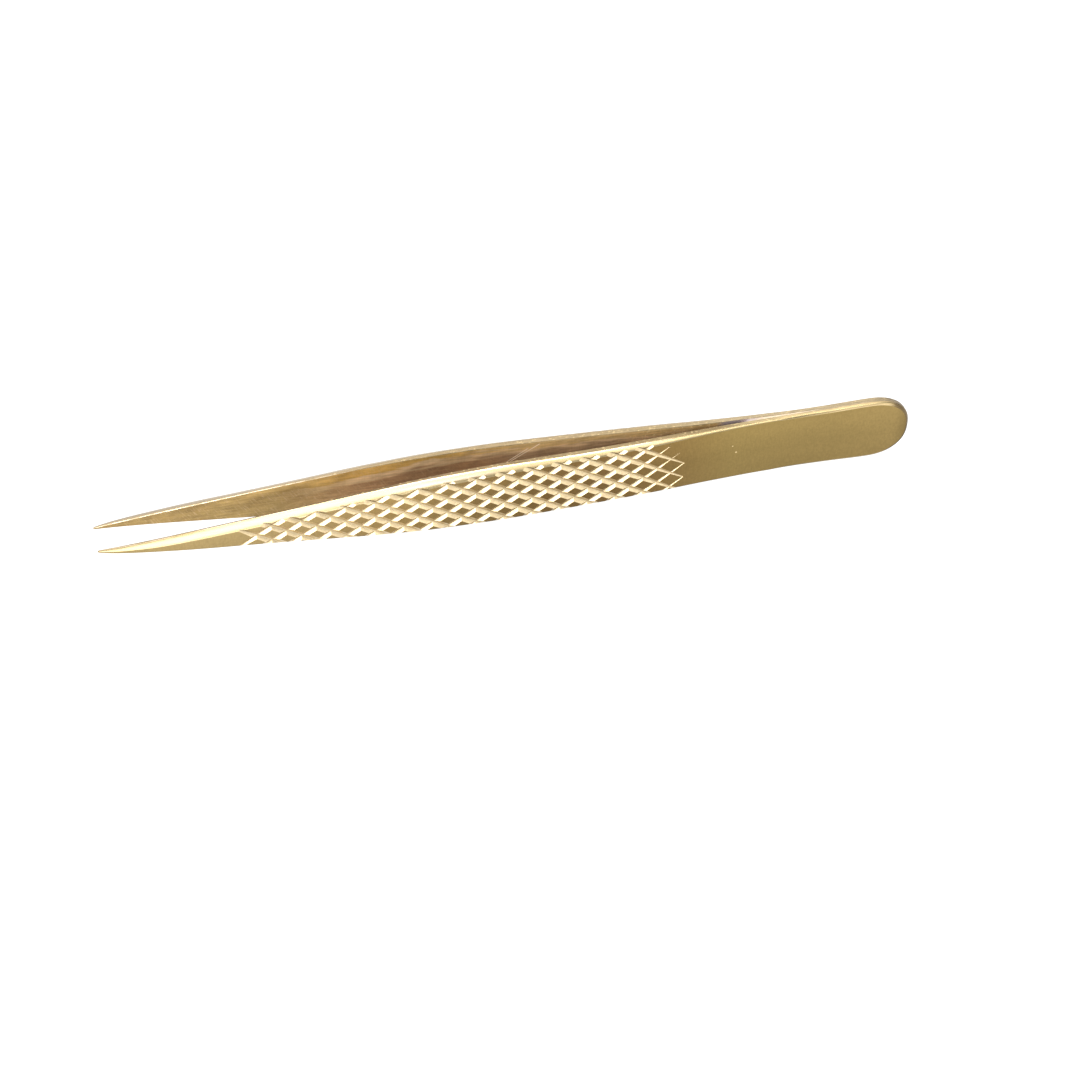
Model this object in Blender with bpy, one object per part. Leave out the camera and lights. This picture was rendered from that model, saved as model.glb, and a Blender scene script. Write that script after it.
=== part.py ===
"""Sprung tongs with needle points: two ground steel blades, welded together along the tail.

The frame: +X runs from the tips to the tail, Y crosses the opening and +Z is up. The tongs stand on
the narrow edges of their blades. The origin is halfway along, on the mirror plane between the blades,
at the level of the lowest edge. A blade is one strip of spring steel. It bends in front of the weld, so it
is made here as a rigid tail and a rigid arm that meet at the bending line, with a small gap.
"""

import math

import bmesh
import bpy

MM = 0.001

# Overall sizes, in millimetres. A station is a distance from the tips, measured along X.
LENGTH = 135.0
TAIL_HALF_WIDTH = 5.45
BEND_STATION = 102.0
BEND_GAP = 0.3
BEND_OFFSET = 1.1

# Rounded tail end: over this length the edges follow a slightly square ellipse, up to this share of it.
END_LENGTH = 7.0
END_SQUARENESS = 2.2
END_STOP = 0.985

# Weld between the two blade tails.
WELD_START = 107.0
WELD_INSET = 1.4
WELD_THICKNESS = 0.3
TAIL_INNER_OFFSET = 0.35

# Profiles of one blade as (station, value) points, joined by smooth curves.
# Distance of the inner face from the mirror plane.
INNER_OFFSET = ((0, 2.75), (5, 2.9), (12, 3.0), (22, 3.0), (40, 2.82), (50, 2.56), (60, 2.22), (70, 1.93),
                (80, 1.59), (90, 1.08), (100, 0.52), (108, TAIL_INNER_OFFSET), (LENGTH, TAIL_INNER_OFFSET))
# Distance of the outer face from the mirror plane. The tail is flat.
OUTER_OFFSET = ((0, 3.05), (2, 3.6), (6, 4.2), (10, 4.55), (16, 4.75), (40, 4.7), (50, 4.56), (60, 4.26),
                (70, 3.9), (80, 3.44), (90, 2.77), (100, 1.85), (110, 1.2), (118, 1.0), (LENGTH, 1.0))
# Half of the blade's width, from its centre line to the narrow edge.
HALF_WIDTH = ((0, 0.12), (10, 1.05), (30, 3.0), (45, 4.43), (55, 5.1), (65, 5.35), (80, 5.18), (95, 5.12),
              (110, 5.16), (120, 5.26), (128, TAIL_HALF_WIDTH), (LENGTH, TAIL_HALF_WIDTH))
# How far the bevel between the narrow edge and the outer face drops.
BEVEL_DROP = ((0, 0.03), (10, 0.5), (35, 0.8), (60, 0.73), (80, 0.47), (100, 0.18), (115, 0.1), (LENGTH, 0.1))
# Share of the blade's thickness that the flat narrow edge takes before the bevel starts.
EDGE_SHARE = ((0, 0.3), (20, 0.15), (40, 0.25), (60, 0.35), (80, 0.48), (97, 0.58), (115, 0.7), (LENGTH, 0.7))

SECTIONS_PER_ARM = 60
SECTIONS_PER_TAIL = 18
SECTIONS_IN_ROUND_END = 14

GOLD = (0.60, 0.43, 0.18, 1.0)
WELD_GREY = (0.30, 0.26, 0.27, 1.0)


def clear_scene():
    """Starts from an empty scene."""
    for thing in list(bpy.data.objects):
        bpy.data.objects.remove(thing, do_unlink=True)


def tangents(points):
    """Slopes at the points of a profile that keep the curve from overshooting."""
    steps = [(b[1] - a[1]) / (b[0] - a[0]) for a, b in zip(points, points[1:])]
    slopes = [steps[0]]
    for before, after in zip(steps, steps[1:]):
        same_way = before * after > 0
        slopes.append(2 * before * after / (before + after) if same_way else 0.0)
    slopes.append(steps[-1])
    return slopes


def profile(points, station):
    """The value of a profile at a station, along a smooth curve through its points."""
    slopes = tangents(points)
    last = len(points) - 2
    k = max(i for i in range(last + 1) if station >= points[i][0] or i == 0)
    (x0, y0), (x1, y1) = points[k], points[k + 1]
    span = x1 - x0
    t = (station - x0) / span
    return (
        (2 * t**3 - 3 * t**2 + 1) * y0
        + (t**3 - 2 * t**2 + t) * span * slopes[k]
        + (3 * t**2 - 2 * t**3) * y1
        + (t**3 - t**2) * span * slopes[k + 1]
    )


def end_share(station):
    """How much of the full width is left at a station of the rounded tail end."""
    u = END_STOP * max(0.0, (station - (LENGTH - END_LENGTH)) / END_LENGTH)
    return (1 - u**END_SQUARENESS) ** (1 / END_SQUARENESS)


def section(station):
    """Six corners (offset from the mirror plane, height above the centre line) of a blade's cross-section."""
    inner = profile(INNER_OFFSET, station)
    outer = profile(OUTER_OFFSET, station)
    top = profile(HALF_WIDTH, station) * end_share(station)
    drop = min(profile(BEVEL_DROP, station), 0.5 * top)
    edge = inner + (outer - inner) * profile(EDGE_SHARE, station)
    upper = [(inner, top), (edge, top), (outer, top - drop)]
    lower = [(offset, -height) for offset, height in reversed(upper)]
    return upper + lower


def weld_section(station):
    """Four corners of the weld's cross-section, set in from the blades' edges."""
    half = WELD_THICKNESS / 2
    top = profile(HALF_WIDTH, station) * end_share(station) - WELD_INSET
    return [(-half, top), (half, top), (half, -top), (-half, -top)]


def evenly(first, last, count):
    """Numbers from first to last in equal steps."""
    return [first + (last - first) * i / (count - 1) for i in range(count)]


def arm_stations():
    """Stations from the tip to the bending line, closer together at the tip."""
    end = BEND_STATION - BEND_GAP / 2
    return [end * share**1.4 for share in evenly(0.0, 1.0, SECTIONS_PER_ARM)]


def tail_stations(start):
    """Stations from a start to the tail's end, closer together where the end curves in."""
    round_start = LENGTH - END_LENGTH
    straight = evenly(start, round_start, SECTIONS_PER_TAIL)
    angles = evenly(0.0, math.asin(END_STOP), SECTIONS_IN_ROUND_END)[1:]
    return straight + [round_start + END_LENGTH * math.sin(a) / END_STOP for a in angles]


def frame_point(station, offset, height, side):
    """A point of a section in the object's frame, in metres; side is -1 for the front and 1 for the rear."""
    return ((station - LENGTH / 2) * MM, side * offset * MM, (height + TAIL_HALF_WIDTH) * MM)


def loft(name, stations, make_section, side, origin, colour, roughness):
    """One closed body through cross-sections at the stations, as an object whose origin is given."""
    mesh = bpy.data.meshes.new(name)
    body = bmesh.new()
    rings = []
    for station in stations:
        corners = [frame_point(station, offset, height, side) for offset, height in make_section(station)]
        rings.append([body.verts.new([c - o for c, o in zip(corner, origin)]) for corner in corners])
    for ring, following in zip(rings, rings[1:]):
        for i in range(len(ring)):
            j = (i + 1) % len(ring)
            body.faces.new((ring[i], ring[j], following[j], following[i]))
    body.faces.new(rings[0])
    body.faces.new(rings[-1])
    bmesh.ops.recalc_face_normals(body, faces=body.faces)
    body.to_mesh(mesh)
    body.free()
    mesh.shade_smooth()
    mesh.set_sharp_from_angle(angle=math.radians(12))
    mesh.materials.append(metal(name + "_metal", colour, roughness))
    made = bpy.data.objects.new(name, mesh)
    made.location = origin
    bpy.context.scene.collection.objects.link(made)
    return made


def metal(name, colour, roughness):
    """A metal with one colour."""
    material = bpy.data.materials.new(name)
    material.use_nodes = True
    shader = material.node_tree.nodes["Principled BSDF"]
    shader.inputs["Base Color"].default_value = colour
    shader.inputs["Metallic"].default_value = 1.0
    shader.inputs["Roughness"].default_value = roughness
    return material


def blade(prefix, side):
    """One blade: its welded tail, and its arm, whose origin is on the bending line."""
    tail_start = BEND_STATION + BEND_GAP / 2
    bend = frame_point(BEND_STATION, BEND_OFFSET, 0.0, side)
    tail_origin = frame_point(LENGTH - END_LENGTH, 0.0, 0.0, side)
    loft(prefix + "_blade_tail", tail_stations(tail_start), section, side, tail_origin, GOLD, 0.34)
    loft(prefix + "_blade_arm", arm_stations(), section, side, bend, GOLD, 0.30)


def weld():
    """The thin weld that holds the two tails together."""
    origin = frame_point(LENGTH - END_LENGTH, 0.0, 0.0, 1)
    stations = [s for s in tail_stations(WELD_START) if s <= LENGTH - 3 * WELD_INSET]
    loft("tail_weld", stations, weld_section, 1, origin, WELD_GREY, 0.5)


clear_scene()
blade("front", -1)
blade("rear", 1)
weld()
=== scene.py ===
"""Looks for the sprung tongs: two gold-coated blades with needle points and cut grips, and their weld."""

import math

import bmesh
import bpy
import numpy as np
from mathutils import Matrix, Vector


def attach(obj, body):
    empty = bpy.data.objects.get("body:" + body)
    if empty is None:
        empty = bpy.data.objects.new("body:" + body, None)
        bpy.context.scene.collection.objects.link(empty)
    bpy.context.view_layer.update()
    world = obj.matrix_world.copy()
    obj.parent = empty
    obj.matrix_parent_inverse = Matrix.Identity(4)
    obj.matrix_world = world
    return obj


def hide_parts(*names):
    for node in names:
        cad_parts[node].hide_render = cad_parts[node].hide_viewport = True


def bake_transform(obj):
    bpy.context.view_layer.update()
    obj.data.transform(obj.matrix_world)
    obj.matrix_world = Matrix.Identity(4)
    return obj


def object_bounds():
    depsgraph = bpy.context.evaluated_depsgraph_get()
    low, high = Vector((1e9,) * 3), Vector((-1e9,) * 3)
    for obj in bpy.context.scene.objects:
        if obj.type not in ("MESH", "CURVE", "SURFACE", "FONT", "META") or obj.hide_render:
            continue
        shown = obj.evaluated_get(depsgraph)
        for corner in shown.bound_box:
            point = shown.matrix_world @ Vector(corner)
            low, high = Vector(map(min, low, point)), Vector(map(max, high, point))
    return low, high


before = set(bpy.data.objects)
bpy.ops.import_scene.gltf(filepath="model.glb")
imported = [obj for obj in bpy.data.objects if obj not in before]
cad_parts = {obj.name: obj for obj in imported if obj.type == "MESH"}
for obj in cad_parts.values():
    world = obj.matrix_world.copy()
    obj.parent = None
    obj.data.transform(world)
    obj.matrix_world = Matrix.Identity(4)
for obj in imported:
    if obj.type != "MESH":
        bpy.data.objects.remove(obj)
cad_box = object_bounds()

MM = 0.001

# The CAD box gives the tips' place, the mirror plane and the blades' centre line.
LOW, HIGH = cad_box
CENTRE = (LOW + HIGH) / 2
LENGTH = (HIGH.x - LOW.x) / MM

# All lengths below are in millimetres. A station is a distance from the tips, along X.
# Rings of a blade's mesh: evenly spaced, closer at the tip, more round the tail's end.
RING_STEP = 0.75
FIRST_RING = 0.3
RING_GROWTH = 1.35
RINGS_NEAR_TIP = 5
END_RINGS = 14
TIP_ROUNDING = ((0.0, 0.35), (0.05, 0.7), (0.13, 0.92))

# Corners of a CAD solid that are this close in station belong to one ring.
SAME_RING = 0.02

# Rounded tail end, as a slightly square ellipse. The last ring stops just short of the very end.
END_LENGTH = 7.0
END_ANGLE = math.radians(88.5)
END_REACH = 0.9995
END_ROUNDING_RATE = 1.5
LEAST_HEIGHT = 0.02
END_SQUARENESS = 2.4

# Softened edges of a blade's section. The shares scale the CAD's narrow edge, as (station, share).
INNER_CHAMFER = 0.07
WELDED_CHAMFER = 0.02
LAND_ROUNDING_FRONT = 0.06
LAND_ROUNDING = 0.19
LAND_ROUNDING_START = 38.0
LAND_ROUNDING_RAMP = 18.0
LAND_SHARES = (
    (0.0, 1.0),
    (50.0, 1.0),
    (62.0, 1.12),
    (72.0, 1.08),
    (84.0, 0.98),
    (100.0, 0.96),
    (106.0, 1.0),
)
RIM_ROUNDING = 0.12
TAIL_DROP = 0.24
TAIL_DROP_START = 106.0
TAIL_DROP_RAMP = 10.0
END_DROP = 0.45
END_EDGE = 0.65
ARC_POINTS = 4
BEVEL_CROWN = 0.055
BEVEL_POINTS = 3

# Where the blades come together, in front of the weld and along it.
PARTING_STATION = 105.5
CLOSING_STATION = 100.0
CLOSING_POWER = 1.35
CLOSED_STATION = 120.0
CLOSED_OFFSET = 0.04
CHAMFER_FADE = 6.0

# Diamond grip: two families of V-grooves across the outer faces.
GRIP_PITCH = 4.71
GRIP_ANGLE = math.radians(31.16)
GRIP_LAST_NODE = 95.2
GRIP_NODES = 16
GROOVE_DEPTH = 0.46
UP_SHARE = 0.88
GROOVE_SLOPE = math.radians(36.5)
GROOVE_BOTTOM = 0.16
GROOVE_CLEARANCE = 0.32
GROOVE_STEP = 1.2

# Where the grooves that run down (-1) and up (1) get shallower towards the tail: start, end and power.
GROOVE_FADES = {-1: (83.5, 96.9, 1.3), 1: (83.5, 96.4, 1.35)}
GROOVE_START = 20.5
GROOVE_START_RAMP = 5.0
GROOVE_START_SHARE = 0.3

# A groove runs this far either way from its node on the centre line, and past the blade's edges.
GROOVE_REACH = 12.0
GROOVE_OVERRUN = 0.9
GRIP_FRONT = 15.0

# The last grooves that run up end alone on the plain face, each a step shorter than the one before.
LONE_GROOVES = 2
LONE_SHORTER = 0.9
LONE_STEP = 1.7
LONE_TAPER = 4.5
LONE_END = 0.06

# Weld: set in from the tail's end, with small ripples as (height, rate, phase), and hollow where it starts.
WELD_INSET = 1.2
WELD_RINGS = 60
WELD_RIPPLES = ((0.004, 2.1, 0.0), (0.002, 5.3, 1.0))
WELD_SUNK = 0.012
WELD_CROWN = 0.02
WELD_START_DEPTH = 0.5
WELD_START_LENGTH = 1.2
WELD_SHARP_ANGLE = math.radians(40.0)

MERGE_DISTANCE = 0.002
SLIVER = 0.001
SHARP_ANGLE = math.radians(25.0)

# Surfaces of a blade, in the order of its materials.
FACE, BEVEL, LAND, DOWN_GROOVE, INNER, EDGE_WEAR_AND_HIGHLIGHT, UP_GROOVE, BRIGHT = range(8)
GROOVES = {DOWN_GROOVE, UP_GROOVE}

# Name of the stored distance of each point below the blade's upper edge, in millimetres.
DEPTH_LAYER = "below_top"


def smooth(t):
    """A step from 0 to 1 with flat ends."""
    t = min(1.0, max(0.0, t))
    return t * t * (3 - 2 * t)


class Blade:
    """The sections of one blade, read from the rings of its CAD solids.

    A ring counts when its upper half has all three corners: on the inner edge, where the narrow edge
    meets the bevel, and where the bevel meets the outer face.
    """

    def __init__(self, *nodes):
        points = np.array([v.co[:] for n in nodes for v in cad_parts[n].data.vertices], float)
        self.side = math.copysign(1.0, points[:, 1].mean())
        points = points[np.argsort(points[:, 0])]
        station = (points[:, 0] - LOW.x) / MM
        offset = np.abs(points[:, 1] - CENTRE.y) / MM
        height = (points[:, 2] - CENTRE.z) / MM
        breaks = np.nonzero(np.diff(station) > SAME_RING)[0] + 1
        rings = np.split(np.arange(len(station)), breaks)
        stations, rows = [], []
        for ring in rings:
            upper = ring[height[ring] > 0]
            corners = sorted({(round(offset[i], 3), round(height[i], 3)) for i in upper})
            if len(corners) == 3:
                (inner, top), (edge, _), (outer, side) = corners
                stations.append(station[ring].mean())
                rows.append((inner, edge, outer, top, top - side))
        self.stations = np.array(stations)
        self.rows = np.array(rows)
        self.slopes = np.gradient(self.rows, self.stations, axis=0)

    def measures(self, s):
        """Inner, edge and outer offset, half width and bevel drop at a station, along smooth curves."""
        x = self.stations
        k = int(np.clip(np.searchsorted(x, s) - 1, 0, len(x) - 2))
        span = x[k + 1] - x[k]
        t = (s - x[k]) / span
        value = (2 * t**3 - 3 * t**2 + 1) * self.rows[k] + (3 * t**2 - 2 * t**3) * self.rows[k + 1]
        value = value + span * ((t**3 - 2 * t**2 + t) * self.slopes[k] + (t**3 - t**2) * self.slopes[k + 1])
        return value

    def outer(self, s):
        """Distance of the outer face from the mirror plane."""
        return float(self.measures(s)[2])

    def inner(self, s):
        """Distance of the inner face from the mirror plane: the blades close up along the weld."""
        if s >= CLOSED_STATION:
            return CLOSED_OFFSET
        value = float(self.measures(s)[0])
        if s <= CLOSING_STATION:
            return value
        start = float(self.measures(CLOSING_STATION)[0])
        t = (s - CLOSING_STATION) / (CLOSED_STATION - CLOSING_STATION)
        return CLOSED_OFFSET + (start - CLOSED_OFFSET) * (1 - t) ** CLOSING_POWER

    def top(self, s):
        """Half width of the blade, before the tail's end rounds it off."""
        round_start = LENGTH - END_LENGTH
        return float(self.measures(min(s, round_start))[3])

    def point(self, s, offset, height):
        """A point in the object's frame, in metres."""
        return Vector((LOW.x + s * MM, CENTRE.y + self.side * offset * MM, CENTRE.z + height * MM))


def rounded_corner(before, corner, after, size, count):
    """Points of a small arc that softens a corner, starting and ending at a distance from it."""
    a = corner + (before - corner).normalized() * size
    b = corner + (after - corner).normalized() * size
    points = []
    for i in range(count):
        t = i / (count - 1)
        points.append(a * (1 - t) ** 2 + corner * 2 * t * (1 - t) + b * t**2)
    return points


def half_section(blade, s, end):
    """The upper half of a section as (offset, distance below the top) points with a surface for each span.

    The share called end goes from 0 along the blade to 1 at the tail's end, where the edges are rounder.
    """
    inner = blade.inner(s)
    _, edge, outer, _, drop = (float(v) for v in blade.measures(s))
    top = blade.top(s)
    drop = max(drop, TAIL_DROP * smooth((s - TAIL_DROP_START) / TAIL_DROP_RAMP))
    drop = min(drop + (END_DROP - drop) * end, 0.6 * top)
    land_share = float(np.interp(s, *zip(*LAND_SHARES)))
    edge = inner + (edge - inner) * (1 - (1 - END_EDGE) * end) * land_share
    welded = smooth((s - PARTING_STATION + CHAMFER_FADE) / CHAMFER_FADE)
    chamfer = INNER_CHAMFER + (WELDED_CHAMFER - INNER_CHAMFER) * welded
    chamfer = min(chamfer, 0.25 * (edge - inner), 0.3 * top)
    further = smooth((s - LAND_ROUNDING_START) / LAND_ROUNDING_RAMP)
    rounding = LAND_ROUNDING_FRONT + (LAND_ROUNDING - LAND_ROUNDING_FRONT) * further
    land_size = min(rounding, 0.4 * (edge - inner - chamfer), 0.4 * drop)
    rim_size = min(RIM_ROUNDING, 0.4 * drop, 0.3 * (top - drop))
    corner = [
        Vector((inner, top)),
        Vector((inner, chamfer)),
        Vector((inner + chamfer, 0.0)),
        Vector((edge, 0.0)),
        Vector((outer, drop)),
        Vector((outer, top)),
    ]
    chord = corner[4] - corner[3]
    outward = Vector((chord.y, -chord.x))
    crown = []
    for i in range(1, BEVEL_POINTS + 1):
        t = i / (BEVEL_POINTS + 1)
        crown.append(corner[3] + chord * t + outward * (4 * BEVEL_CROWN * t * (1 - t)))
    points = [corner[1], corner[2]]
    points += rounded_corner(corner[2], corner[3], crown[0], land_size, ARC_POINTS)
    points += crown
    points += rounded_corner(crown[-1], corner[4], corner[5], rim_size, ARC_POINTS)
    surfaces = [EDGE_WEAR_AND_HIGHLIGHT, LAND, LAND, BRIGHT, BRIGHT] + [BEVEL] * (len(points) - 6) + [FACE]
    return points, surfaces


def ring_stations():
    """Stations of a blade's rings: even along the blade, closer at its tip."""
    round_start = LENGTH - END_LENGTH
    near_tip = [FIRST_RING * RING_GROWTH**i for i in range(RINGS_NEAR_TIP)]
    count = round((round_start - near_tip[-1]) / RING_STEP)
    along = [near_tip[-1] + (round_start - near_tip[-1]) * i / count for i in range(1, count + 1)]
    return near_tip + along


def blade_rings(blade):
    """The rings of a blade's mesh as points in the object's frame, from tip to tail, and their surfaces."""
    rings = []
    middle = (blade.inner(0.0) + blade.outer(0.0)) / 2
    for s, scale in TIP_ROUNDING:
        points, surfaces = half_section(blade, 0.0, 0.0)
        top = blade.top(0.0)
        upper = [(s, middle + (p.x - middle) * scale, (top - p.y) * scale) for p in points]
        rings.append(upper)
    for s in ring_stations():
        points, surfaces = half_section(blade, s, 0.0)
        top = blade.top(s)
        rings.append([(s, p.x, top - p.y) for p in points])
    start = LENGTH - END_LENGTH
    for i in range(1, END_RINGS + 1):
        angle = END_ANGLE * i / END_RINGS
        u = math.sin(angle) / math.sin(END_ANGLE) * END_REACH
        w = (1 - u**END_SQUARENESS) ** (1 / END_SQUARENESS)
        top = blade.top(start)
        along = u ** (END_SQUARENESS - 1) / END_LENGTH
        across = w ** (END_SQUARENESS - 1) / top
        size = math.hypot(along, across)
        points, surfaces = half_section(blade, start, smooth(END_ROUNDING_RATE * i / END_RINGS))
        s = start + END_LENGTH * u / END_REACH
        ring = []
        for p in points:
            height = max(w * top - p.y * across / size, LEAST_HEIGHT)
            ring.append((s - p.y * along / size, p.x, height))
        rings.append(ring)
    full = []
    for upper in rings:
        lower = [(s, offset, -height) for s, offset, height in reversed(upper)]
        full.append([blade.point(*p) for p in upper + lower])
    return full, surfaces + surfaces[-2::-1] + [INNER]


def groove_depth(s, slope):
    """Depth of a groove at a station: it deepens quickly from the tips and fades out towards the tail."""
    start, end, power = GROOVE_FADES[slope]
    depth = GROOVE_DEPTH * (UP_SHARE if slope > 0 else 1.0)
    depth *= GROOVE_START_SHARE + (1 - GROOVE_START_SHARE) * smooth((s - GROOVE_START) / GROOVE_START_RAMP)
    return depth * (1 - max(0.0, (s - start) / (end - start)) ** power)


def groove_line(blade, node, slope, last):
    """(station, height) points of a groove, front end first; slope is -1 or 1 for down or up."""
    points = []
    count = int(2 * GROOVE_REACH / (GROOVE_STEP * math.cos(GRIP_ANGLE)))
    for i in range(count + 1):
        s = node - GROOVE_REACH + 2 * GROOVE_REACH * i / count
        height = slope * (s - node) * math.tan(GRIP_ANGLE)
        if GRIP_FRONT < s < last and abs(height) < blade.top(s) + GROOVE_OVERRUN:
            points.append((s, height))
    if points and last - points[-1][0] < 2 * GROOVE_STEP:
        points.append((last, slope * (last - node) * math.tan(GRIP_ANGLE)))
    return points


def add_groove(body, blade, line, slope, lone):
    """A closed V-shaped prism along a line on the outer face; a lone groove tapers to a point."""
    across = Vector((-slope * math.sin(GRIP_ANGLE), math.cos(GRIP_ANGLE)))
    rings = []
    for s, height in line:
        surface = blade.outer(s)
        depth = groove_depth(s, slope)
        if lone:
            depth *= min(1.0, (line[-1][0] - s) / LONE_TAPER + LONE_END)
        half = (depth + GROOVE_CLEARANCE) / math.tan(GROOVE_SLOPE)
        bottom = GROOVE_BOTTOM * depth / GROOVE_DEPTH
        rise = bottom * math.tan(GROOVE_SLOPE)
        profile = [(-half, -GROOVE_CLEARANCE), (-bottom, depth - rise), (0.0, depth - rise / 2)]
        profile += [(bottom, depth - rise), (half, -GROOVE_CLEARANCE)]
        corners = []
        for aside, sunk in profile:
            at, up = s + across.x * aside, height + across.y * aside
            level = blade.outer(at) if sunk < 0 else surface
            corners.append((at, level - sunk, up))
        rings.append([body.verts.new(blade.point(*c)) for c in corners])
    for ring, following in zip(rings, rings[1:]):
        for i in range(len(ring)):
            j = (i + 1) % len(ring)
            body.faces.new((ring[i], ring[j], following[j], following[i]))
    body.faces.new(rings[0])
    body.faces.new(rings[-1])


def cutter(name, blade, slope, first):
    """The grooves of one family as one cutter; first is the number of its node nearest the tail."""
    body = bmesh.new()
    for k in range(first, GRIP_NODES):
        node = GRIP_LAST_NODE - GRIP_PITCH * k
        lone = slope > 0 and 0 < k <= LONE_GROOVES
        last = GRIP_LAST_NODE
        if lone:
            last = GRIP_LAST_NODE - LONE_SHORTER - LONE_STEP * (k - 1)
        line = groove_line(blade, node, slope, last)
        if len(line) > 1:
            add_groove(body, blade, line, slope, lone)
    bmesh.ops.recalc_face_normals(body, faces=body.faces)
    for face in body.faces:
        face.material_index = UP_GROOVE if slope > 0 else DOWN_GROOVE
    return linked(name, body)


def linked(name, body):
    """A new object in the scene from a bmesh, which is freed."""
    mesh = bpy.data.meshes.new(name)
    body.to_mesh(mesh)
    body.free()
    made = bpy.data.objects.new(name, mesh)
    bpy.context.scene.collection.objects.link(made)
    return made


def cut(target, tool):
    """Cuts a tool out of a target and removes the tool."""
    modifier = target.modifiers.new("cut", "BOOLEAN")
    modifier.operation = "DIFFERENCE"
    modifier.solver = "EXACT"
    modifier.material_mode = "INDEX"
    modifier.object = tool
    graph = bpy.context.evaluated_depsgraph_get()
    result = bpy.data.meshes.new_from_object(target.evaluated_get(graph))
    target.modifiers.clear()
    target.data = result
    bpy.data.objects.remove(tool, do_unlink=True)


def build_blade(name, blade, materials):
    """One blade as a single closed mesh with its grip cut in."""
    rings, surfaces = blade_rings(blade)
    body = bmesh.new()
    placed = [[body.verts.new(p) for p in ring] for ring in rings]
    count = len(placed[0])
    for ring, following in zip(placed, placed[1:]):
        for i in range(count):
            j = (i + 1) % count
            face = body.faces.new((ring[i], ring[j], following[j], following[i]))
            face.material_index = surfaces[i]
    body.faces.new(placed[0]).material_index = EDGE_WEAR_AND_HIGHLIGHT
    last = placed[-1]
    for i in range(count // 2 - 1):
        face = body.faces.new((last[i], last[i + 1], last[-2 - i], last[-1 - i]))
        face.material_index = surfaces[i]
    bmesh.ops.recalc_face_normals(body, faces=body.faces)
    made = linked(name, body)
    for material in materials:
        made.data.materials.append(material)
    cut(made, cutter(name + "_down", blade, -1, 0))
    cut(made, cutter(name + "_up", blade, 1, -1))
    tidy(made, blade)
    return made


def tidy(made, blade):
    """Merges slivers left by cutting, shades smooth between sharp edges and stores each point's depth."""
    body = bmesh.new()
    body.from_mesh(made.data)
    bmesh.ops.remove_doubles(body, verts=body.verts, dist=MERGE_DISTANCE * MM)
    bmesh.ops.dissolve_degenerate(body, edges=body.edges, dist=SLIVER * MM)
    between_two = [vert for vert in body.verts if len(vert.link_edges) == 2]
    bmesh.ops.dissolve_verts(body, verts=between_two)
    many_sided = [face for face in body.faces if len(face.verts) > 4]
    bmesh.ops.triangulate(body, faces=many_sided, quad_method="FIXED", ngon_method="EAR_CLIP")
    depth = body.verts.layers.float.new(DEPTH_LAYER)
    for vert in body.verts:
        vert[depth] = blade.top((vert.co.x - LOW.x) / MM) - (vert.co.z - CENTRE.z) / MM
    for face in body.faces:
        face.smooth = True
    for edge in body.edges:
        kinds = {face.material_index for face in edge.link_faces}
        angle = edge.calc_face_angle(0.0)
        edge.smooth = angle < SHARP_ANGLE and not (kinds & GROOVES and len(kinds) > 1)
    body.to_mesh(made.data)
    body.free()


def build_weld(blade, material):
    """The weld that fills the seam between the tails, nearly flush with their narrow edges."""
    body = bmesh.new()
    rings = []
    end = LENGTH - WELD_INSET
    for i in range(WELD_RINGS + 1):
        s = PARTING_STATION + (end - PARTING_STATION) * i / WELD_RINGS
        u = max(0.0, (s - (LENGTH - END_LENGTH)) / END_LENGTH)
        width = blade.top(s) * (1 - u**END_SQUARENESS) ** (1 / END_SQUARENESS)
        ripple = sum(height * math.sin(rate * s + phase) for height, rate, phase in WELD_RIPPLES)
        hollow = WELD_START_DEPTH * (1 - smooth((s - PARTING_STATION) / WELD_START_LENGTH))
        sunk = WELD_SUNK + ripple + hollow
        half = blade.inner(s) - WELD_SUNK
        top = width - sunk
        side = top - WELD_CROWN
        section = [(-half, side), (-0.5 * half, top), (0.5 * half, top), (half, side)]
        section += [(o, -h) for o, h in reversed(section)]
        rings.append([body.verts.new(blade.point(s, o, h)) for o, h in section])
    for ring, following in zip(rings, rings[1:]):
        for i in range(len(ring)):
            j = (i + 1) % len(ring)
            body.faces.new((ring[i], ring[j], following[j], following[i]))
    body.faces.new(rings[0])
    body.faces.new(rings[-1])
    bmesh.ops.recalc_face_normals(body, faces=body.faces)
    made = linked("seam_weld", body)
    made.data.materials.append(material)
    made.data.shade_smooth()
    made.data.set_sharp_from_angle(angle=WELD_SHARP_ANGLE)
    return made


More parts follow.
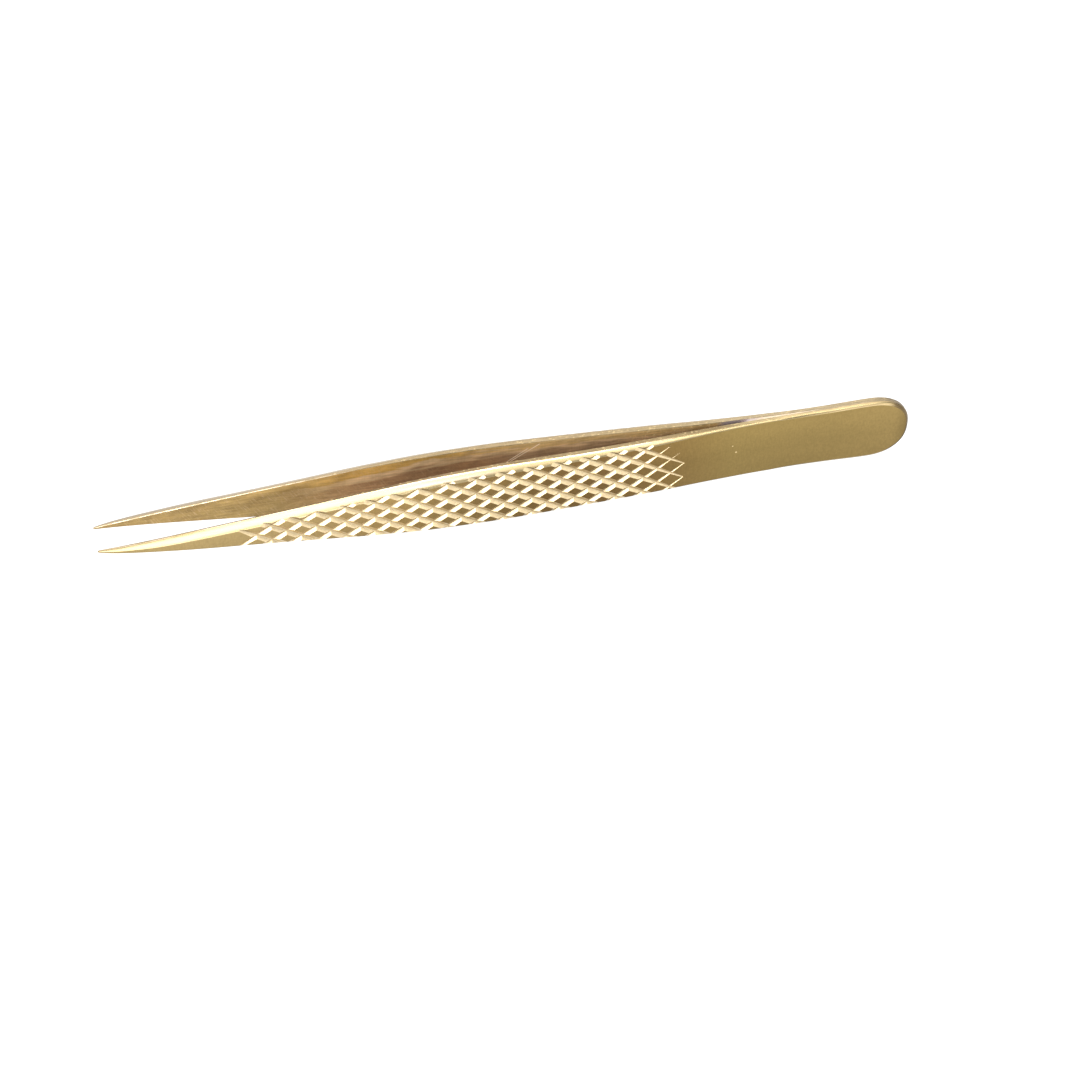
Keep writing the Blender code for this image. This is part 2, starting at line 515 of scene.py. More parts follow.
class Nodes:
    """Short ways to add shader nodes to a material."""

    def __init__(self, name):
        self.material = bpy.data.materials.new(name)
        self.material.use_nodes = True
        self.tree = self.material.node_tree
        self.shader = self.tree.nodes["Principled BSDF"]
        self.coordinates = self.tree.nodes.new("ShaderNodeTexCoord").outputs["Object"]

    def link(self, source, target):
        """Sets an input from a socket or a plain value."""
        if isinstance(source, bpy.types.NodeSocket):
            self.tree.links.new(source, target)
        else:
            target.default_value = source

    def noise(self, scale, detail=3.0, roughness=0.55, distortion=0.0, turn=0.0):
        """Noise from 0 to 1 with a scale per axis, in cycles per millimetre, turned about Y."""
        mapping = self.tree.nodes.new("ShaderNodeMapping")
        mapping.vector_type = "TEXTURE"
        mapping.inputs["Rotation"].default_value = (0.0, turn, 0.0)
        mapping.inputs["Scale"].default_value = [MM / v for v in scale]
        self.tree.links.new(self.coordinates, mapping.inputs["Vector"])
        node = self.tree.nodes.new("ShaderNodeTexNoise")
        node.inputs["Scale"].default_value = 1.0
        node.inputs["Detail"].default_value = detail
        node.inputs["Roughness"].default_value = roughness
        node.inputs["Distortion"].default_value = distortion
        self.tree.links.new(mapping.outputs["Vector"], node.inputs["Vector"])
        return node.outputs["Fac"]

    def math(self, operation, a, b=0.0):
        """A math node's result."""
        node = self.tree.nodes.new("ShaderNodeMath")
        node.operation = operation
        self.link(a, node.inputs[0])
        self.link(b, node.inputs[1])
        return node.outputs[0]

    def ramp(self, value, low, high, to_low=0.0, to_high=1.0):
        """Maps a value from low..high to to_low..to_high with soft ends."""
        node = self.tree.nodes.new("ShaderNodeMapRange")
        node.interpolation_type = "SMOOTHSTEP"
        self.link(value, node.inputs["Value"])
        limits = {"From Min": low, "From Max": high, "To Min": to_low, "To Max": to_high}
        for key, number in limits.items():
            self.link(number, node.inputs[key])
        return node.outputs["Result"]

    def mix(self, share, a, b):
        """A mix of two colours."""
        node = self.tree.nodes.new("ShaderNodeMix")
        node.data_type = "RGBA"
        self.link(share, node.inputs[0])
        self.link(a, node.inputs[6])
        self.link(b, node.inputs[7])
        return node.outputs[2]

    def scaled(self, colour, share):
        """A colour times a number."""
        node = self.tree.nodes.new("ShaderNodeVectorMath")
        node.operation = "SCALE"
        self.link(colour, node.inputs[0])
        self.link(share, node.inputs["Scale"])
        return node.outputs["Vector"]

    def colours(self, value, stops):
        """A colour that follows a value from 0 to 1, from (station, colour) stops along the blade."""
        node = self.tree.nodes.new("ShaderNodeValToRGB")
        ramp = node.color_ramp
        ramp.elements[0].position = stops[0][0] / LENGTH
        ramp.elements[0].color = stops[0][1]
        ramp.elements[-1].position = stops[-1][0] / LENGTH
        ramp.elements[-1].color = stops[-1][1]
        for station, colour in stops[1:-1]:
            ramp.elements.new(station / LENGTH).color = colour
        self.link(value, node.inputs["Fac"])
        return node.outputs["Color"]

    def shades(self, station, stops):
        """A grey that follows the station, from (station, brightness) stops along the blade."""
        greys = [(at, (share, share, share, 1.0)) for at, share in stops]
        return self.colours(self.math("DIVIDE", station, LENGTH), greys)

    def axis(self, name):
        """X as a station, Y from the mirror plane or Z from the centre line, in millimetres."""
        node = self.tree.nodes.new("ShaderNodeSeparateXYZ")
        self.tree.links.new(self.coordinates, node.inputs[0])
        start = {"X": LOW.x, "Y": CENTRE.y, "Z": CENTRE.z}[name]
        return self.math("MULTIPLY", self.math("SUBTRACT", node.outputs[name], start), 1 / MM)

    def stroke(self, start, end, width):
        """1 along a line between two (station, height) points, softly down to 0 beside it."""
        (x, z), (x2, z2) = start, end
        length = math.hypot(x2 - x, z2 - z)
        from_x = self.math("SUBTRACT", self.axis("X"), x)
        from_z = self.math("SUBTRACT", self.axis("Z"), z)
        along_x = self.math("MULTIPLY", from_x, (x2 - x) / length)
        along = self.math("ADD", along_x, self.math("MULTIPLY", from_z, (z2 - z) / length))
        across_x = self.math("MULTIPLY", from_x, (z2 - z) / length)
        across = self.math("SUBTRACT", across_x, self.math("MULTIPLY", from_z, (x2 - x) / length))
        near = self.ramp(self.math("ABSOLUTE", across), 0.0, width, 1.0, 0.0)
        begun = self.ramp(along, 0.0, 0.5)
        inside = self.math("MULTIPLY", begun, self.ramp(along, length - 0.5, length, 1.0, 0.0))
        return self.math("MULTIPLY", near, inside)

    def spot(self, station, height, radius):
        """1 at a point on a face, softly down to 0 at a radius."""
        from_x = self.math("POWER", self.math("SUBTRACT", self.axis("X"), station), 2.0)
        from_z = self.math("POWER", self.math("SUBTRACT", self.axis("Z"), height), 2.0)
        distance = self.math("SQRT", self.math("ADD", from_x, from_z))
        return self.ramp(distance, 0.3 * radius, radius, 1.0, 0.0)

    def stored(self, name):
        """A number that is stored on the mesh's points."""
        node = self.tree.nodes.new("ShaderNodeAttribute")
        node.attribute_name = name
        return node.outputs["Fac"]

    def rise(self):
        """How much the surface faces up, from -1 to 1."""
        geometry = self.tree.nodes.new("ShaderNodeNewGeometry")
        node = self.tree.nodes.new("ShaderNodeSeparateXYZ")
        self.tree.links.new(geometry.outputs["True Normal"], node.inputs[0])
        return node.outputs["Z"]

    def bump(self, height, depth):
        """Raises the surface by height times a depth in millimetres."""
        node = self.tree.nodes.new("ShaderNodeBump")
        node.inputs["Strength"].default_value = 1.0
        node.inputs["Distance"].default_value = depth * MM
        self.link(height, node.inputs["Height"])
        if self.shader.inputs["Normal"].is_linked:
            self.tree.links.new(self.shader.inputs["Normal"].links[0].from_socket, node.inputs["Normal"])
        self.tree.links.new(node.outputs["Normal"], self.shader.inputs["Normal"])

    def metal(self, colour, roughness):
        """Finishes the material as bare coated metal."""
        self.shader.inputs["Metallic"].default_value = 1.0
        self.link(colour, self.shader.inputs["Base Color"])
        self.link(roughness, self.shader.inputs["Roughness"])
        return self.material


# Direction of the grinding marks across the inner faces.
GRINDING_TURN = math.radians(-35.0)

# Colours of the coating and of its stains, as linear reflectances.
GOLD_PALE = (0.53, 0.42, 0.265, 1.0)
GOLD_GROUND = (0.47, 0.37, 0.19, 1.0)
# The next colour is a painted highlight on the front bevel where it is widest.
GOLD_WHITISH = (0.50, 0.42, 0.34, 1.0)
GOLD_SATIN = (0.34, 0.25, 0.12, 1.0)
GOLD_INNER = (0.36, 0.25, 0.095, 1.0)
GOLD_INNER_DEEP = (0.28, 0.185, 0.068, 1.0)
GOLD_INNER_EDGE = (0.48, 0.33, 0.125, 1.0)
# The next colour serves real worn specks and painted highlights on the edges and on the tail's bevel.
GOLD_WEAR_AND_HIGHLIGHT = (0.74, 0.57, 0.30, 1.0)
# The next colour serves the real scratches and painted highlights on the chamfers and edge roundings.
GOLD_SCRATCH_AND_HIGHLIGHT = (0.95, 0.80, 0.60, 1.0)
# Grooves that run down take the next two colours and those that run up take pale gold and satin: lit and
# shaded copies of one finish, and the difference is painted light.
PEACH = (0.62, 0.50, 0.305, 1.0)
PEACH_DULL = (0.52, 0.40, 0.235, 1.0)
OCHRE = (0.48, 0.295, 0.08, 1.0)
TAN = (0.50, 0.345, 0.15, 1.0)
BROWN = (0.34, 0.2, 0.098, 1.0)
BROWN_GREY = (0.36, 0.245, 0.145, 1.0)
STRAW = (0.58, 0.415, 0.235, 1.0)
PURPLE_GREY = (0.40, 0.33, 0.32, 1.0)
LILAC = (0.42, 0.355, 0.34, 1.0)
# The next colour is the rear blade's copy of the bevel colour; its difference from the front bevel is
# painted light.
REAR_BEVEL = (0.43, 0.345, 0.235, 1.0)
# The next colour is painted shade round the tail's rounded end.
RIM_SHADE_BROWN = (0.17, 0.122, 0.062, 1.0)
PINK_GREY = (0.66, 0.54, 0.40, 1.0)

# Outer faces as (station, colour) from the tips to the tail: palest at the points, deepest along the grip.
# This change of brightness along the blade is painted light that stands in for the reflections of the
# lights.
FACE_COLOURS = (
    (0.0, (0.44, 0.325, 0.14, 1.0)),
    (28.0, (0.41, 0.295, 0.13, 1.0)),
    (40.0, (0.34, 0.232, 0.095, 1.0)),
    (47.0, (0.325, 0.217, 0.08, 1.0)),
    (55.0, (0.248, 0.165, 0.062, 1.0)),
    (63.0, (0.205, 0.132, 0.048, 1.0)),
    (72.0, (0.167, 0.103, 0.036, 1.0)),
    (82.0, (0.18, 0.11, 0.039, 1.0)),
    (92.0, (0.232, 0.148, 0.05, 1.0)),
    (104.0, (0.29, 0.205, 0.071, 1.0)),
    (135.0, (0.32, 0.226, 0.084, 1.0)),
)

# Brightness as (station, share) from the tips to the tail: the inner faces, the front bevel, the chamfers
# along the inner edges, and the down-facing flanks of the grooves that run down and up.
INNER_SHADES = (
    (0.0, 1.0),
    (12.0, 1.03),
    (20.0, 1.02),
    (29.0, 0.98),
    (36.0, 1.1),
    (44.0, 1.1),
    (52.0, 0.86),
    (60.0, 1.0),
    (68.0, 1.12),
    (84.0, 1.1),
    (94.0, 1.0),
    (135.0, 1.0),
)
# The front bevel's shares are painted light.
BEVEL_SHADES = (
    (0.0, 1.0),
    (35.0, 0.95),
    (50.0, 0.84),
    (64.0, 0.74),
    (78.0, 0.78),
    (90.0, 0.8),
    (101.0, 0.66),
    (112.0, 0.92),
    (135.0, 0.82),
)
# The chamfers' shares are a painted highlight along the blade.
CHAMFER_LIGHT_SHADES = (
    (0.0, 0.85),
    (18.0, 0.9),
    (33.0, 0.5),
    (43.0, 0.2),
    (56.0, 0.28),
    (74.0, 0.75),
    (92.0, 0.7),
    (101.0, 0.5),
    (135.0, 0.5),
)
# The down-facing flanks' shares, for both groove families, are painted shade, a little brighter near the
# points.
DOWN_GROOVE_SHADES = (
    (0.0, 1.0),
    (44.0, 1.02),
    (62.0, 0.86),
    (80.0, 0.9),
    (95.0, 0.9),
    (135.0, 0.9),
)
UP_GROOVE_SHADES = (
    (0.0, 1.08),
    (42.0, 1.06),
    (52.0, 0.98),
    (64.0, 0.77),
    (76.0, 0.71),
    (84.0, 0.6),
    (91.0, 0.7),
    (135.0, 0.8),
)

# Narrow edges of the front and the rear blade: copies of one finish whose differences and whose brightness
# along the blade (palest at the points, brightest along the weld on the front) are painted light; the rear
# one is heat-tinted along the weld, and both darken at the tail's end as painted shade.
FRONT_LAND_COLOURS = (
    (0.0, (0.36, 0.27, 0.165, 1.0)),
    (18.0, (0.17, 0.117, 0.064, 1.0)),
    (43.0, (0.165, 0.115, 0.06, 1.0)),
    (53.0, (0.24, 0.17, 0.095, 1.0)),
    (65.0, (0.23, 0.165, 0.087, 1.0)),
    (76.0, (0.295, 0.22, 0.118, 1.0)),
    (90.0, (0.285, 0.21, 0.108, 1.0)),
    (101.0, (0.23, 0.167, 0.085, 1.0)),
    (108.0, (0.42, 0.33, 0.18, 1.0)),
    (120.0, (0.60, 0.46, 0.24, 1.0)),
    (131.0, (0.60, 0.46, 0.24, 1.0)),
    (132.8, (0.20, 0.145, 0.08, 1.0)),
    (135.0, (0.15, 0.105, 0.06, 1.0)),
)
REAR_LAND_COLOURS = (
    (0.0, (0.50, 0.38, 0.24, 1.0)),
    (40.0, (0.37, 0.28, 0.165, 1.0)),
    (60.0, (0.34, 0.255, 0.145, 1.0)),
    (76.0, (0.36, 0.27, 0.155, 1.0)),
    (92.0, (0.335, 0.255, 0.14, 1.0)),
    (106.0, (0.40, 0.32, 0.20, 1.0)),
    (130.5, (0.38, 0.30, 0.18, 1.0)),
    (132.3, (0.165, 0.12, 0.07, 1.0)),
    (135.0, (0.14, 0.10, 0.06, 1.0)),
)

# Two thin scratches on the rear inner face as (station, height) ends, and specks on the front face as
# (station, height, radius).
SCRATCHES = (((66.1, 1.8), (70.1, 4.4)), ((66.8, 1.9), (72.0, 5.0)))
SCRATCH_WIDTH = 0.14
SPECKS = ((103.7, 1.4, 0.15), (104.4, 0.0, 0.21))


def face_metal():
    """Outer faces: satin, ground across the blade, with painted shade that darkens their lower half and the
    tail's rounded end.
    """
    n = Nodes("gold_outer_face")
    broad = n.noise((0.05, 0.05, 0.12), detail=2.0)
    grain = n.noise((6.0, 1.0, 0.9), detail=3.0)
    speck = n.noise((2.6, 2.6, 2.6), detail=2.0)
    colour = n.colours(n.math("DIVIDE", n.axis("X"), LENGTH), FACE_COLOURS)
    # Painted shade: the lower half of each face is darker.
    shade = n.ramp(n.axis("Z"), -1.0, 4.5, 0.81, 1.0)
    shade = n.math("MULTIPLY", shade, n.ramp(broad, 0.3, 0.7, 0.96, 1.04))
    shade = n.math("MULTIPLY", shade, n.ramp(grain, 0.25, 0.75, 0.94, 1.06))
    shade = n.math("MULTIPLY", shade, n.ramp(speck, 0.25, 0.75, 0.94, 1.06))
    # Painted shade: darker round the tail's rounded end.
    shade = n.math("MULTIPLY", shade, n.ramp(n.axis("X"), 132.0, 135.0, 1.0, 0.7))
    colour = n.scaled(colour, shade)
    front = n.math("LESS_THAN", n.axis("Y"), 0.0)
    for station, height, radius in SPECKS:
        colour = n.mix(n.math("MULTIPLY", n.spot(station, height, radius), front), colour, GOLD_WEAR_AND_HIGHLIGHT)
    n.bump(grain, 0.003)
    return n.metal(colour, n.ramp(grain, 0.2, 0.8, 0.30, 0.42))


def bevel_metal():
    """Ground bevels with marks along the blade, and painted light: a painted highlight, whitest at the
    widest part and pale along the tail, brightness shares along the blade, and painted shade on the lower
    edge and round the tail's end.
    """
    n = Nodes("gold_bevel")
    lines = n.noise((0.08, 2.5, 5.0), detail=3.0)
    colour = n.mix(n.ramp(lines, 0.35, 0.7, 0.0, 0.5), GOLD_GROUND, GOLD_PALE)
    station = n.axis("X")
    # Painted highlight: whiter where the front bevel is widest.
    widest = n.math("MULTIPLY", n.ramp(station, 43.0, 53.0), n.ramp(station, 58.0, 66.0, 0.85, 0.0))
    depth = n.stored(DEPTH_LAYER)
    widest = n.math("MULTIPLY", widest, n.ramp(depth, 0.15, 0.4))
    widest = n.math("MULTIPLY", widest, n.ramp(depth, 0.4, 0.6, 1.0, 0.0))
    colour = n.mix(widest, colour, GOLD_WHITISH)
    colour = n.scaled(colour, n.shades(station, BEVEL_SHADES))
    # The rear blade's bevel takes its own copy of the colour: painted light.
    colour = n.mix(n.math("GREATER_THAN", n.axis("Y"), 0.0), colour, REAR_BEVEL)
    # Painted highlight along the tail's bevel.
    colour = n.mix(n.ramp(station, 114.0, 124.0), colour, GOLD_WEAR_AND_HIGHLIGHT)
    # Painted shade round the tail's rounded end.
    colour = n.mix(n.ramp(station, 130.3, 132.4), colour, RIM_SHADE_BROWN)
    # Painted shade: darker towards the lower edge.
    colour = n.scaled(colour, n.ramp(n.axis("Z"), -4.5, 3.0, 0.45, 1.0))
    n.bump(lines, 0.003)
    return n.metal(colour, n.ramp(lines, 0.2, 0.8, 0.24, 0.36))


def land_metal():
    """Narrow edges: satin with worn bright specks, heat-tinted pinkish at the weld and behind it; the colour
    tables add painted light along the blade and painted shade at the tail's end.
    """
    n = Nodes("gold_narrow_edge")
    marks = n.noise((0.5, 3.0, 1.0), detail=3.0)
    along = n.math("DIVIDE", n.axis("X"), LENGTH)
    # The rear table covers the rear blade and the strip by the seam: heat tint there, and painted light in
    # its difference from the front table.
    rear_and_seam = n.ramp(n.axis("Y"), -0.44, -0.28)
    colour = n.mix(rear_and_seam, n.colours(along, FRONT_LAND_COLOURS), n.colours(along, REAR_LAND_COLOURS))
    colour = n.scaled(colour, n.ramp(marks, 0.3, 0.7, 0.86, 1.14))
    specks = n.noise((1.6, 2.5, 2.0), detail=2.0)
    colour = n.mix(n.math("MULTIPLY", n.ramp(specks, 0.58, 0.68), 0.5), colour, GOLD_WEAR_AND_HIGHLIGHT)
    n.bump(marks, 0.004)
    return n.metal(colour, n.ramp(marks, 0.2, 0.8, 0.32, 0.46))


def groove_metal(name, colour, dull, under_shades, near_edge):
    """Grip grooves: bright, with faint feed marks; painted shade darkens the down-facing flanks, most near
    the bevel, and the up-facing ones dim a little along the blade as painted light.
    """
    n = Nodes(name)
    marks = n.noise((1.2, 1.2, 1.2), detail=3.0)
    colour = n.mix(n.ramp(marks, 0.4, 0.75, 0.0, 0.5), colour, dull)
    station = n.axis("X")
    # Painted shade on the down-facing flanks, deeper near the upper edge.
    under = n.shades(station, under_shades)
    under = n.math("MULTIPLY", under, n.ramp(n.stored(DEPTH_LAYER), 0.9, 2.0, near_edge, 1.0))
    # Up-facing flanks dim a little along the blade: painted light.
    shade = n.mix(n.ramp(n.rise(), -0.2, 0.2), under, n.ramp(station, 46.0, 60.0, 1.0, 0.9))
    colour = n.scaled(colour, shade)
    n.bump(marks, 0.004)
    return n.metal(colour, n.ramp(marks, 0.2, 0.8, 0.24, 0.36))


def inner_metal():
    """Inner faces: an ochre band under the upper edge, then straw and brown ones; specks near the weld;
    towards the points, a painted highlight just under the upper edge.
    """
    n = Nodes("gold_inner_face")
    station = n.axis("X")
    depth = n.stored(DEPTH_LAYER)
    streaks = n.noise((0.12, 1.0, 1.1), detail=5.0, distortion=0.4)
    lines = n.noise((0.25, 1.0, 4.0), detail=4.0)
    patches = n.noise((0.3, 1.0, 0.8), detail=4.0, roughness=0.6, turn=0.5 * GRINDING_TURN)
    blotches = n.noise((0.16, 1.0, 0.35), detail=3.0)
    fine = n.noise((0.9, 1.0, 2.6), detail=3.0)
    grinding = n.noise((5.0, 1.0, 0.6), detail=3.0, turn=GRINDING_TURN)
    cross = n.noise((5.0, 1.0, 0.35), detail=2.0)
    specks = n.noise((2.2, 2.2, 2.2), detail=2.0)
    wander = n.math("ADD", depth, n.math("MULTIPLY", n.math("SUBTRACT", streaks, 0.5), 3.4))
    plain = n.mix(n.ramp(blotches, 0.35, 0.7), GOLD_INNER_DEEP, GOLD_INNER)
    # Painted highlight: a paler band just under the upper edge, before the stains begin.
    under_edge = n.math("MULTIPLY", n.ramp(wander, 0.4, 1.6, 1.0, 0.0), n.ramp(station, 14.0, 26.0))
    plain = n.mix(under_edge, plain, GOLD_INNER_EDGE)
    ochre = n.mix(n.ramp(station, 56.0, 70.0), OCHRE, TAN)
    level = n.math("SUBTRACT", wander, n.ramp(station, 42.0, 54.0, 0.8, 0.0))
    stain = n.mix(n.ramp(level, 0.7, 1.2), ochre, STRAW)
    brown = n.mix(n.ramp(station, 58.0, 72.0), BROWN, BROWN_GREY)
    stain = n.mix(n.ramp(level, 1.3, 2.2), stain, brown)
    stained = n.math("MULTIPLY", n.ramp(station, 26.0, 46.0), n.ramp(blotches, 0.2, 0.5, 0.75, 1.0))
    colour = n.mix(stained, plain, stain)
    colour = n.mix(n.ramp(fine, 0.55, 0.8, 0.0, 0.25), colour, STRAW)
    colour = n.scaled(colour, n.ramp(lines, 0.3, 0.7, 0.84, 1.16))
    colour = n.scaled(colour, n.ramp(patches, 0.3, 0.7, 0.87, 1.14))
    colour = n.scaled(colour, n.shades(station, INNER_SHADES))
    colour = n.scaled(colour, n.ramp(cross, 0.3, 0.7, 0.96, 1.04))
    ground = n.math("MULTIPLY", n.ramp(grinding, 0.5, 0.72), n.ramp(station, 20.0, 50.0, 0.45, 0.25))
    colour = n.mix(ground, colour, STRAW)
    spotted = n.math("MULTIPLY", n.ramp(specks, 0.57, 0.66), n.ramp(station, 78.0, 95.0, 0.05, 0.8))
    colour = n.mix(spotted, colour, GOLD_WEAR_AND_HIGHLIGHT)
    rear = n.math("GREATER_THAN", n.axis("Y"), 0.0)
    for start, end in SCRATCHES:
        scratch = n.math("MULTIPLY", n.stroke(start, end, SCRATCH_WIDTH), rear)
        colour = n.mix(scratch, colour, GOLD_SCRATCH_AND_HIGHLIGHT)
    at_weld = n.ramp(station, PARTING_STATION - 4.5, PARTING_STATION - 2.5)
    colour = n.mix(at_weld, colour, PURPLE_GREY)
    n.bump(fine, 0.006)
    n.bump(grinding, 0.003)
    made = n.metal(colour, n.ramp(blotches, 0.2, 0.8, 0.42, 0.56))
    n.shader.inputs["Metallic"].default_value = 0.7
    return made


def edge_wear_and_highlight_metal():
    """Small chamfers along the inner edges: patches of wear and a painted highlight that brightens them."""
    n = Nodes("gold_edge_wear_and_highlight")
    wear = n.noise((0.6, 2.0, 2.0), detail=4.0)
    colour = n.mix(n.ramp(wear, 0.42, 0.55), GOLD_PALE, GOLD_SCRATCH_AND_HIGHLIGHT)
    colour = n.mix(n.ramp(n.axis("X"), 34.0, 50.0), colour, GOLD_WEAR_AND_HIGHLIGHT)
    # Painted highlight: the chamfers' brightness along the blade.
    colour = n.scaled(colour, n.shades(n.axis("X"), CHAMFER_LIGHT_SHADES))
    return n.metal(colour, n.ramp(wear, 0.3, 0.7, 0.16, 0.26))


def bright_metal():
    """Roundings between narrow edges and bevels: a pale painted highlight line with patches of wear on the
    front blade, but not at the weld; painted shade round the tail's end and towards the lower edge.
    """
    n = Nodes("gold_bright_edge")
    wear = n.noise((0.3, 2.0, 2.0), detail=3.0)
    station = n.axis("X")
    # Painted highlight: a pale line with patches of wear, kept on the front blade before the weld.
    colour = n.mix(n.ramp(wear, 0.35, 0.65), GOLD_WEAR_AND_HIGHLIGHT, GOLD_SCRATCH_AND_HIGHLIGHT)
    plain = n.math("MAXIMUM", n.ramp(station, 88.0, 96.0), n.math("GREATER_THAN", n.axis("Y"), 0.0))
    colour = n.mix(plain, colour, n.mix(n.ramp(station, 108.0, 118.0), GOLD_SATIN, GOLD_GROUND))
    # Painted shade round the tail's rounded end.
    colour = n.mix(n.ramp(station, 130.5, 132.7), colour, RIM_SHADE_BROWN)
    # Painted shade: darker towards the lower edge.
    colour = n.scaled(colour, n.ramp(n.axis("Z"), -4.5, 3.0, 0.45, 1.0))
    return n.metal(colour, n.ramp(wear, 0.3, 0.7, 0.2, 0.3))


def weld_metal():
    """Weld: heat-tinted, purple-grey where the blades part and pinkish tan along the seam."""
    n = Nodes("heat_tinted_weld")
    spots = n.noise((1.3, 1.3, 1.3), detail=4.0)
    along = n.ramp(n.math("ADD", n.axis("X"), n.math("MULTIPLY", spots, 2.0)), 107.0, 111.0)
    colour = n.mix(n.ramp(spots, 0.4, 0.6), PURPLE_GREY, LILAC)
    colour = n.mix(along, colour, PINK_GREY)
    n.bump(spots, 0.03)
    return n.metal(colour, n.ramp(spots, 0.3, 0.7, 0.38, 0.55))


def floor_material():
    """A plain pale floor, lit evenly from within so that shadows on it nearly vanish."""
    n = Nodes("pale_floor")
    tooth = n.noise((0.2, 0.2, 0.2), detail=2.0)
    shade = n.mix(n.ramp(tooth, 0.3, 0.7), (0.18, 0.18, 0.18, 1.0), (0.19, 0.19, 0.19, 1.0))
    n.link(shade, n.shader.inputs["Base Color"])
    n.shader.inputs["Roughness"].default_value = 0.9
    n.shader.inputs["Specular IOR Level"].default_value = 0.1
    n.shader.inputs["Emission Color"].default_value = (1.0, 1.0, 1.0, 1.0)
    n.shader.inputs["Emission Strength"].default_value = 0.95
    return n.material


# Floor: half its size in metres, and (distance behind, rise) of the rows across it that turn up.
FLOOR_REACH = 3.0
FLOOR_ROWS = ((-FLOOR_REACH, 0.0), (1.0, 0.0), (1.6, 0.05), (2.1, 0.25), (2.5, 0.7), (2.7, 1.5))


def build_floor():
    """A large floor under the tongs, gently turned up far behind them."""
    body = bmesh.new()
    made_rows = []
    for y, z in FLOOR_ROWS:
        made_rows.append([body.verts.new((x, y, LOW.z + z)) for x in (-FLOOR_REACH, 0.0, FLOOR_REACH)])
    for row, following in zip(made_rows, made_rows[1:]):
        for i in range(2):
            body.faces.new((row[i], row[i + 1], following[i + 1], following[i]))
    floor = linked("floor", body)
    floor.data.shade_smooth()
    floor.data.materials.append(floor_material())


def soft_light(name, direction, distance, size, radiance, colour):
    """A square soft light that faces the tongs. Its power follows from the radiance of its surface."""
    data = bpy.data.lights.new(name, "AREA")
    data.shape = "SQUARE"
    data.size = size
    data.energy = radiance * math.pi * size * size
    data.color = colour
    light = bpy.data.objects.new(name, data)
    way = Vector(direction).normalized()
    light.location = CENTRE + way * distance
    light.rotation_mode = "QUATERNION"
    light.rotation_quaternion = way.to_track_quat("Z", "Y")
    bpy.context.scene.collection.objects.link(light)


# Lights as (name, direction from the tongs, distance and size in metres, radiance, colour): strong ones
# above and in front on the left, weaker fill from the other sides.
LIGHTS = (
    ("key_front_left", (-0.34, -0.83, 0.41), 0.9, 0.62, 6.5, (1.0, 1.0, 0.99)),
    ("key_above", (-0.22, -0.04, 0.97), 0.8, 0.56, 5.0, (1.0, 1.0, 0.99)),
    ("above_back", (0.215, 0.25, 0.94), 0.9, 0.25, 9.0, (1.0, 1.0, 0.99)),
    ("above_right", (0.36, -0.14, 0.92), 0.9, 0.50, 1.8, (1.0, 0.99, 0.96)),
    ("high_front", (-0.055, -0.64, 0.77), 0.9, 0.16, 4.0, (1.0, 1.0, 0.99)),
    ("mid_left", (-0.45, -0.50, 0.74), 0.9, 0.45, 3.0, (1.0, 1.0, 0.98)),
    ("fill_front_right", (0.74, -0.60, 0.27), 1.0, 0.5, 1.75, (1.0, 0.98, 0.95)),
    ("fill_behind", (0.1, 0.74, 0.64), 1.2, 1.0, 1.05, (1.0, 0.99, 0.97)),
    ("fill_right", (0.93, 0.02, 0.36), 0.9, 0.55, 0.9, (1.0, 0.98, 0.95)),
    ("fill_left", (-0.90, -0.10, 0.40), 0.9, 0.5, 2.5, (1.0, 0.99, 0.97)),
)
WORLD_COLOUR = (1.0, 0.985, 0.96, 1.0)
WORLD_STRENGTH = 0.55


def build_lights():
    """All the soft lights, and an even pale surrounding."""
    for light in LIGHTS:
        soft_light(*light)
    world = bpy.data.worlds.new("studio")
    world.use_nodes = True
    background = world.node_tree.nodes["Background"]
    background.inputs["Color"].default_value = WORLD_COLOUR
    background.inputs["Strength"].default_value = WORLD_STRENGTH
    bpy.context.scene.world = world


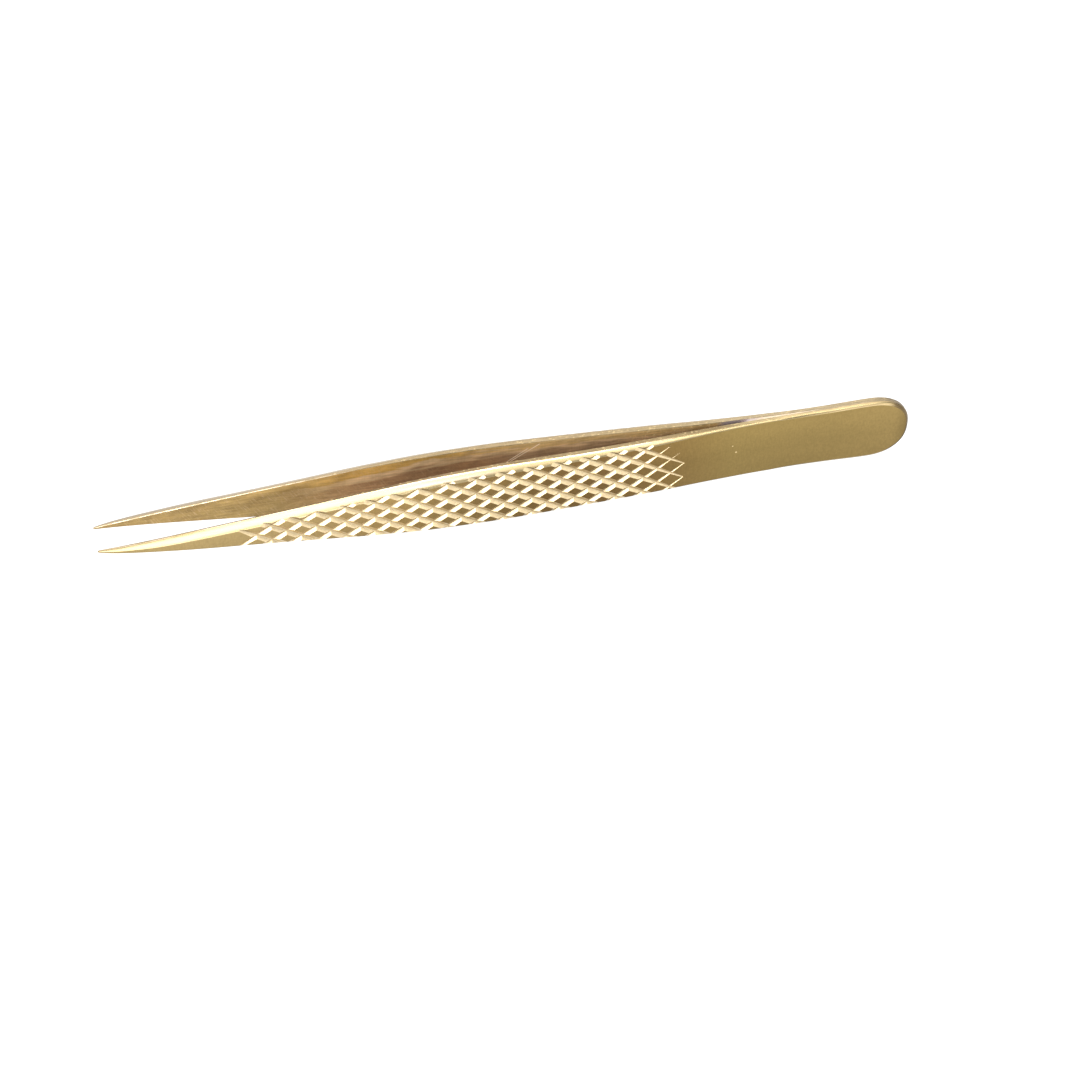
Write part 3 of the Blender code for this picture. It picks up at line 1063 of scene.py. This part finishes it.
# The camera looks down on the tongs from the front, slightly from the left, with a small roll.
CAMERA_AZIMUTH = math.radians(16.32)
CAMERA_ELEVATION = math.radians(40.0)
CAMERA_ROLL = math.radians(2.0)
CAMERA_DISTANCE = 0.3978
CAMERA_LENS = 80.2
CAMERA_SENSOR = 36.0
CAMERA_TARGET = Vector((4.37, 0.0, -13.81)) * MM


def build_camera():
    """The camera at the reference angle."""
    level = math.cos(CAMERA_ELEVATION)
    east = math.sin(CAMERA_AZIMUTH)
    north = math.cos(CAMERA_AZIMUTH)
    forward = Vector((east * level, north * level, -math.sin(CAMERA_ELEVATION)))
    right = Vector((north, -east, 0.0))
    up = right.cross(forward)
    turned_right = right * math.cos(CAMERA_ROLL) + up * math.sin(CAMERA_ROLL)
    turned_up = up * math.cos(CAMERA_ROLL) - right * math.sin(CAMERA_ROLL)
    data = bpy.data.cameras.new("camera")
    data.lens = CAMERA_LENS
    data.sensor_width = CAMERA_SENSOR
    data.clip_start = 0.01
    camera = bpy.data.objects.new("camera", data)
    camera.matrix_world = (
        Matrix.Translation(CENTRE + CAMERA_TARGET - forward * CAMERA_DISTANCE)
        @ Matrix((turned_right, turned_up, -forward)).transposed().to_4x4()
    )
    bpy.context.scene.collection.objects.link(camera)
    bpy.context.scene.camera = camera


def build_tongs():
    """Both blades, built in place of their CAD bodies, and the weld, which rides on the tail's body."""
    metals = [face_metal(), bevel_metal(), land_metal()]
    # The two groove families differ in colour as painted light: lit and shaded copies of one finish.
    metals.append(groove_metal("gold_down_groove", PEACH, PEACH_DULL, DOWN_GROOVE_SHADES, 0.5))
    metals += [inner_metal(), edge_wear_and_highlight_metal()]
    metals.append(groove_metal("gold_up_groove", GOLD_PALE, GOLD_SATIN, UP_GROOVE_SHADES, 0.8))
    metals.append(bright_metal())
    for prefix in ("front", "rear"):
        nodes = (prefix + "_blade_arm", prefix + "_blade_tail")
        blade = Blade(*nodes)
        made = build_blade(prefix + "_blade", blade, metals)
        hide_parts(*nodes)
        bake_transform(made)
    made = build_weld(blade, weld_metal())
    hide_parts("tail_weld")
    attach(made, "tail")


build_tongs()
build_floor()
build_lights()
build_camera()
bpy.context.scene.view_settings.view_transform = "Standard"
